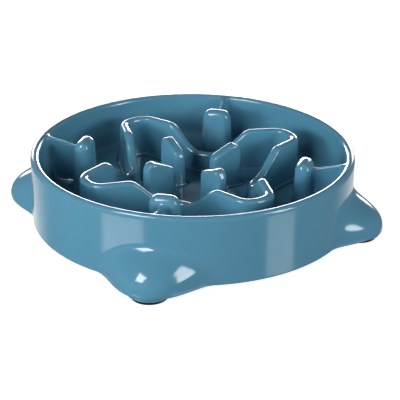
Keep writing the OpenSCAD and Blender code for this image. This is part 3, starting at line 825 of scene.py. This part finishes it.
def makeWebs():
    w = web
    wallLine = basinSide()
    top = webTop(wallLine[-1])
    foot = (postFace(shell["floor"]), shell["floor"])
    corner = [foot, (shell["cornerCentre"][0], shell["floor"]),
              (top[0][0], top[0][1] - w["half"]), (top[-1][0], top[-1][1] - w["half"])]

    def spot(s, t):
        # blend of the four edges: floor below, top above, post at one end and wall at the other
        low = (foot[0] + (corner[1][0] - foot[0]) * s, foot[1])
        high = alongLine(top, s)
        high = (high[0], high[1] - w["half"])
        zNear = foot[1] + (corner[2][1] - foot[1]) * t
        near = (foot[0] + (corner[2][0] - foot[0]) * t, zNear)
        far = alongLine(wallLine, t)
        far = (far[0], far[1] - w["half"] * t)
        return tuple((1 - t) * low[i] + t * high[i] + (1 - s) * near[i] + s * far[i]
                     - (1 - s) * (1 - t) * corner[0][i] - s * (1 - t) * corner[1][i]
                     - (1 - s) * t * corner[2][i] - s * t * corner[3][i] for i in (0, 1))

    rows = []
    for j in range(w["rows"] + 1):
        t = j / w["rows"]
        rows.append([(spot(i / w["columns"], t), 1.0) for i in range(w["columns"] + 1)])
    for a in quarterAngles(1, w["roundSteps"]):
        rows.append([((x, z + w["half"] * math.sin(a)), math.cos(a)) for (x, z), _ in rows[w["rows"]]])
    # the ends and the foot of the plate sink a little into what they meet
    rings = []
    for row in rows:
        ring = []
        for (x, z), share in row:
            # the wall's fillet widens towards the lip
            rise = 0.0
            if x > top[0][0] + w["bend"]:
                rise = smooth((z - w["flareFrom"]) / (top[-1][1] - w["flareFrom"]))
            half = (w["half"] + filletAt(basinDepth(x, z), w["fillet"] + w["flare"] * rise)
                    + filletAt(x - postFace(z), w["fillet"])) * share
            ring.append((x, half, z))
        first, last = ring[0], ring[-1]
        ring.insert(0, (first[0] - w["sink"], first[1], first[2]))
        ring.append((last[0] + w["sink"], last[1], last[2] - w["farSink"]))
        rings.append(ring)
    low = [(x, y, z - w["sink"]) for x, y, z in rings[0]]
    rings.insert(0, low)
    count = len(rings[0])
    total = len(rings) * count
    points = [p for ring in rings for p in ring]
    points += [(x, -y, z) for x, y, z in points]
    faces = bridgeRings(rings, closed=False)
    faces += [tuple(total + i for i in reversed(face)) for face in faces]
    border = list(range(count)) + [j * count + count - 1 for j in range(1, len(rings))]
    border += [(len(rings) - 1) * count + i for i in range(count - 2, -1, -1)]
    border += [j * count for j in range(len(rings) - 2, 0, -1)]
    n = len(border)
    faces += [(border[i], border[(i + 1) % n], total + border[(i + 1) % n], total + border[i])
              for i in range(n)]
    makeFour("postWebs", points, faces, 0, bowlPlastic,
             ["post_web_" + side for side in sides])


makeWebs()
print("stage: webs made")

# Rubber pads under the feet

pad = {"distance": 126.4, "radius": 13.2, "edge": 1.2, "top": 5.6, "columns": 72, "edgeSteps": 6}


def makePads():
    p = pad
    outline = [(0.0, 0.0), (p["radius"] / 2, 0.0)]
    outline += arcPoints((p["radius"] - p["edge"], p["edge"]), p["edge"], -90, 0, p["edgeSteps"])
    outline += [(p["radius"], p["top"]), (0.0, p["top"])]
    rings = []
    for i in range(p["columns"]):
        a = math.tau * i / p["columns"]
        rings.append([(p["distance"] + r * math.cos(a), r * math.sin(a), z) for r, z in outline])
    rings.append(rings[0])
    makeFour("footPads", [q for ring in rings for q in ring], bridgeRings(rings, closed=False), 0,
             padRubber, ["foot_pad_" + side for side in sides])


makePads()
print("stage: pads made")

# Camera, floor and light. Directions are measured from the camera's side, then turned with it

# focal length, frame and centre in pixels, sensor in millimetres, tilt and roll in radians,
# turn in degrees, distance and clip in metres
camera = {
    "focal": 1337.38, "frame": 400, "sensor": 36.0, "tilt": 0.4344, "distance": 0.993696,
    "centre": (192.848, 148.68), "roll": 0.0091, "turn": 12.8, "clip": (0.01, 50.0),
}
turned = Matrix.Rotation(math.radians(camera["turn"]), 3, "Z")


def makeCamera():
    c = camera
    e, roll = c["tilt"], c["roll"]
    ahead = Vector((0, math.cos(e), -math.sin(e)))
    above = Vector((0, math.sin(e), math.cos(e)))
    across = Vector((1, 0, 0))
    right = math.cos(roll) * across + math.sin(roll) * above
    up = math.cos(roll) * above - math.sin(roll) * across
    shiftX = (c["centre"][0] - c["frame"] / 2) * c["distance"] / c["focal"]
    shiftY = -(c["centre"][1] - c["frame"] / 2) * c["distance"] / c["focal"]
    place = -(shiftX * right + shiftY * up + c["distance"] * ahead)
    data = bpy.data.cameras.new("photoCamera")
    data.sensor_width = c["sensor"]
    data.sensor_fit = "HORIZONTAL"
    data.lens = c["sensor"] * c["focal"] / c["frame"]
    data.clip_start, data.clip_end = c["clip"]
    item = bpy.data.objects.new("photoCamera", data)
    bpy.context.scene.collection.objects.link(item)
    axes = Matrix((right, up, -ahead)).transposed()
    item.matrix_world = (turned @ axes).to_4x4()
    item.location = turned @ place + Vector((0, 0, shell["height"] * mm))
    bpy.context.scene.camera = item


# the windows only show in the gloss, and the keys and fills only light;
# directions in degrees, sizes in metres, power in watts
lamps = {
    "leftWindow": {"azimuth": -136.0, "height": 47.0, "size": (0.46, 0.5), "power": 9.0, "shows": True},
    "rightWindow": {"azimuth": -28.0, "height": 26.0, "size": (0.28, 0.8), "power": 6.4, "shows": True},
    "leftKey": {"azimuth": -150.0, "height": 14.0, "size": (0.5, 0.3), "power": 8.6, "shows": False},
    "leftTop": {"azimuth": -150.0, "height": 40.0, "size": (0.5, 0.4), "power": 2.6, "shows": False},
    "frontKey": {"azimuth": -122.0, "height": 20.0, "size": (0.5, 0.3), "power": 4.6, "shows": False},
    "frontFill": {"azimuth": -58.0, "height": 20.0, "size": (0.5, 0.3), "power": 2.0, "shows": False},
    "rightKey": {"azimuth": -25.0, "height": 16.0, "size": (0.5, 0.3), "power": 6.6, "shows": False},
    "backFill": {"azimuth": 90.0, "height": 9.0, "size": (1.4, 0.2), "power": 8.0, "shows": False},
}
lampDistance, lampAimHeight = 1.3, 0.03


def aim(azimuth, height):
    a, h = math.radians(azimuth), math.radians(height)
    return turned @ Vector((math.cos(a) * math.cos(h), math.sin(a) * math.cos(h), math.sin(h)))


def makeLamps():
    for name, values in lamps.items():
        data = bpy.data.lights.new(name, "AREA")
        data.shape = "RECTANGLE"
        data.size, data.size_y = values["size"]
        data.energy = values["power"]
        lamp = bpy.data.objects.new(name, data)
        bpy.context.scene.collection.objects.link(lamp)
        way = aim(values["azimuth"], values["height"])
        lamp.location = way * lampDistance + Vector((0, 0, lampAimHeight))
        lamp.visible_glossy = values["shows"]
        lamp.visible_diffuse = not values["shows"]
        lamp.rotation_euler = way.to_track_quat("Z", "Y").to_euler()


surround = {
    "ambient": 0.03, "reflected": 0.17,
    # bright cards of the studio as the gloss shows them, each with its azimuth, half width, softness,
    # lowest and highest angle, and strength
    "cards": ((-139.5, 15.5, 2.5, -31.5, -24.0, 2.6), (-25.0, 11.0, 2.0, -31.5, -24.0, 1.8),
              (90.0, 28.0, 5.0, 1.0, 16.0, 14.0), (90.0, 45.0, 20.0, -33.0, -23.0, 0.85)),
}


def studioCardGroup():
    # mask of a card at an azimuth and between two heights, for a direction
    tree, given, result = newTree("studioCard", "ShaderNodeTree", (
        ("Direction", "NodeSocketVector", None), ("Centre", "NodeSocketVector", None),
        ("Outer Cosine", "NodeSocketFloat", 0.9), ("Inner Cosine", "NodeSocketFloat", 0.95),
        ("Low", "NodeSocketFloat", -1.0), ("High", "NodeSocketFloat", 1.0),
        ("Height Softness", "NodeSocketFloat", 0.04)), (("Mask", "NodeSocketFloat"),))
    link = tree.links.new
    level = addNode(tree, "ShaderNodeVectorMath", operation="MULTIPLY")
    level.inputs[1].default_value = (1.0, 1.0, 0.0)
    link(given.outputs["Direction"], level.inputs[0])
    unit = addNode(tree, "ShaderNodeVectorMath", operation="NORMALIZE")
    link(level.outputs[0], unit.inputs[0])
    near = addNode(tree, "ShaderNodeVectorMath", operation="DOT_PRODUCT")
    link(unit.outputs[0], near.inputs[0])
    link(given.outputs["Centre"], near.inputs[1])
    across = addNode(tree, "ShaderNodeMapRange", interpolation_type="SMOOTHSTEP")
    link(near.outputs["Value"], across.inputs["Value"])
    link(given.outputs["Outer Cosine"], across.inputs["From Min"])
    link(given.outputs["Inner Cosine"], across.inputs["From Max"])
    split = addNode(tree, "ShaderNodeSeparateXYZ")
    link(given.outputs["Direction"], split.inputs[0])
    masks = [across.outputs["Result"]]
    soft = given.outputs["Height Softness"]
    for edge, sign in (("Low", 1.0), ("High", -1.0)):
        past = calc(tree, "SUBTRACT", split.outputs["Z"], given.outputs[edge])
        past = calc(tree, "MULTIPLY", past, sign)
        ramp = addNode(tree, "ShaderNodeMapRange", interpolation_type="SMOOTHSTEP")
        link(past, ramp.inputs["Value"])
        link(calc(tree, "MULTIPLY", soft, -1.0), ramp.inputs["From Min"])
        link(soft, ramp.inputs["From Max"])
        masks.append(ramp.outputs["Result"])
    link(calc(tree, "MULTIPLY", calc(tree, "MULTIPLY", masks[0], masks[1]), masks[2]), result.inputs[0])
    return tree


def makeSurround():
    world = bpy.data.worlds.new("studio")
    bpy.context.scene.world = world
    world.use_nodes = True
    tree = world.node_tree
    link = tree.links.new
    background = tree.nodes["Background"]
    setSocket(background, "Color", (1.0, 1.0, 1.0, 1.0))
    direction = addNode(tree, "ShaderNodeTexCoord").outputs["Generated"]
    cards = studioCardGroup()
    reflected = surround["reflected"]
    for azimuth, half, soft, low, high, strength in surround["cards"]:
        card = addNode(tree, "ShaderNodeGroup", node_tree=cards)
        link(direction, card.inputs["Direction"])
        setSocket(card, "Centre", aim(azimuth, 0))
        setSocket(card, "Outer Cosine", math.cos(math.radians(half + soft)))
        setSocket(card, "Inner Cosine", math.cos(math.radians(half - soft)))
        setSocket(card, "Low", math.sin(math.radians(low)))
        setSocket(card, "High", math.sin(math.radians(high)))
        reflected = calc(tree, "ADD", calc(tree, "MULTIPLY", card.outputs[0], strength), reflected)
    path = addNode(tree, "ShaderNodeLightPath")
    glossy = calc(tree, "MULTIPLY", path.outputs["Is Glossy Ray"], reflected)
    other = calc(tree, "MULTIPLY", calc(tree, "SUBTRACT", 1.0, path.outputs["Is Glossy Ray"]),
                 surround["ambient"])
    seen = calc(tree, "ADD", path.outputs["Is Camera Ray"], path.outputs["Is Transmission Ray"])
    rest = calc(tree, "MULTIPLY", calc(tree, "SUBTRACT", 1.0, seen), calc(tree, "ADD", glossy, other))
    link(calc(tree, "ADD", seen, rest), background.inputs["Strength"])


floorPlane = {"size": 6.0, "drop": 0.05, "colour": (0.5, 0.5, 0.5, 1.0), "roughness": 0.9, "glow": 0.86}


def makeFloor():
    f = floorPlane
    half = f["size"] / 2 / mm
    corners = [(x * half, y * half, -f["drop"]) for x, y in ((-1, -1), (1, -1), (1, 1), (-1, 1))]
    piece = makePiece("studioFloor", corners, [(0, 1, 2, 3)], clean=False)
    material = bpy.data.materials.new("paleFloor")
    material.use_nodes = True
    tree = material.node_tree
    link = tree.links.new
    shader = tree.nodes["Principled BSDF"]
    setSocket(shader, "Base Color", f["colour"])
    setSocket(shader, "Roughness", f["roughness"])
    # the camera sees the floor white, a little darker in the bowl's shadow
    glow = addNode(tree, "ShaderNodeEmission")
    path = addNode(tree, "ShaderNodeLightPath")
    setSocket(glow, "Color", (1.0, 1.0, 1.0, 1.0))
    link(calc(tree, "MULTIPLY", path.outputs["Is Camera Ray"], f["glow"]), glow.inputs["Strength"])
    both = addNode(tree, "ShaderNodeAddShader")
    link(shader.outputs[0], both.inputs[0])
    link(glow.outputs[0], both.inputs[1])
    link(both.outputs[0], tree.nodes["Material Output"].inputs["Surface"])
    piece.data.materials.append(material)
    piece.visible_glossy = False


makeCamera()
makeLamps()
makeSurround()
makeFloor()
bpy.context.scene.view_settings.view_transform = "Standard"
print("stage: camera, light and floor made")
